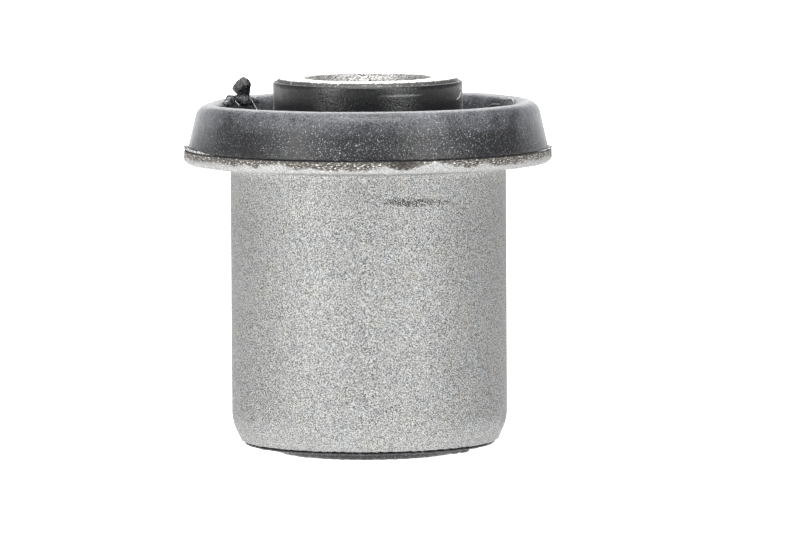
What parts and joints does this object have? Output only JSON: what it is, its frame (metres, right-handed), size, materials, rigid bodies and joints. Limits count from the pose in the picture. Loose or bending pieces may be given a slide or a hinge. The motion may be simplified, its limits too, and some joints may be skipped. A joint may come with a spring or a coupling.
{
  "type": "control arm bushing",
  "caption": "Flanged rubber and metal bushing for a suspension control arm: drawn outer sleeve, bonded rubber with a rolled collar, and a bored inner sleeve.",
  "frame": {"origin": "centre of the inner sleeve's lower end face", "axes": "+Z along the bolt, from the plain foot to the flanged end; +X to the right of the picture's view and +Y away from it"},
  "size_m": [0.048, 0.048, 0.049],
  "materials": {
    "outer_sleeve": "grit-blasted and phosphated steel, dull silver grey",
    "rubber_element": "moulded matt rubber with dust and bloom",
    "inner_sleeve": "turned steel, bright end faces"
  },
  "bodies": {
    "root": {"outer_sleeve": "outer_sleeve", "rubber_element": "rubber_element", "inner_sleeve": "inner_sleeve"}
  },
  "joints": []
}
